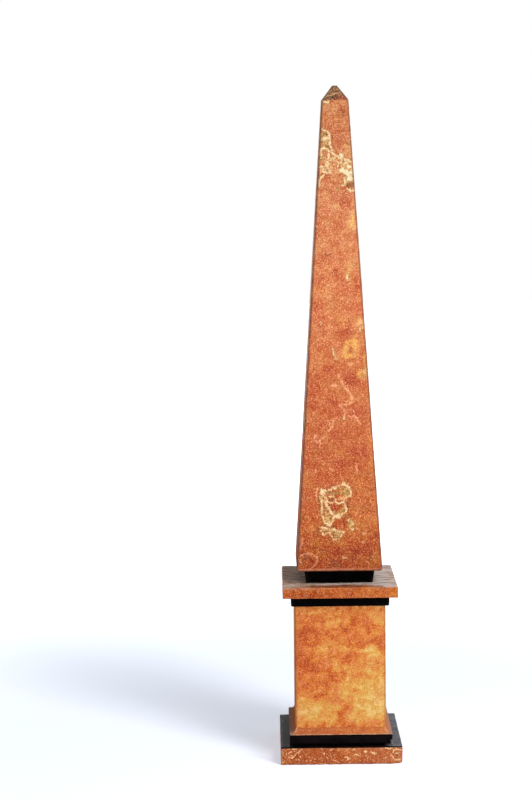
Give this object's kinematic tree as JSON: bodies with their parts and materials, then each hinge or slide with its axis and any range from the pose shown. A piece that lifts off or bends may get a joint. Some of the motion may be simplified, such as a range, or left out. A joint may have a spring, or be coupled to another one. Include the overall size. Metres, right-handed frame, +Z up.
{
  "type": "table obelisk",
  "caption": "Ornamental marble obelisk: a tapered square shaft with a pyramid tip, on a black neck, a moulded pedestal and a stepped plinth.",
  "frame": {"origin": "centre of the plinth's underside, on the surface that it stands on", "axes": "+Z up along the shaft's axis; -Y is the front face, +X is the viewer's right"},
  "size_m": [0.15, 0.15, 0.8312],
  "materials": {
    "shaft_marble": "polished orange-red marble, mottled, with cream veins and shell figures",
    "red_marble": "polished brick-red marble with cream flecks",
    "golden_marble": "polished orange marble with golden-yellow clouds",
    "black_marble": "polished black marble",
    "cap_marble": "honed brown-red marble, worn",
    "core_stone": "rough sawn grey stone"
  },
  "bodies": {
    "root": {"base_ledge": "red_marble", "base_step": "black_marble", "bed_back": "black_marble", "bed_front": "black_marble", "bed_left": "black_marble", "bed_right": "black_marble", "cornice": "red_marble", "die_back": "golden_marble", "die_core": "core_stone", "die_front": "golden_marble", "die_left": "golden_marble", "die_right": "golden_marble", "neck": "black_marble", "plinth_back": "red_marble", "plinth_core": "core_stone", "plinth_cover": "black_marble", "plinth_front": "red_marble", "plinth_left": "red_marble", "plinth_right": "red_marble", "pyramidion": "cap_marble", "shaft_back": "shaft_marble", "shaft_core": "core_stone", "shaft_front": "shaft_marble", "shaft_left": "shaft_marble", "shaft_right": "shaft_marble"}
  },
  "joints": []
}
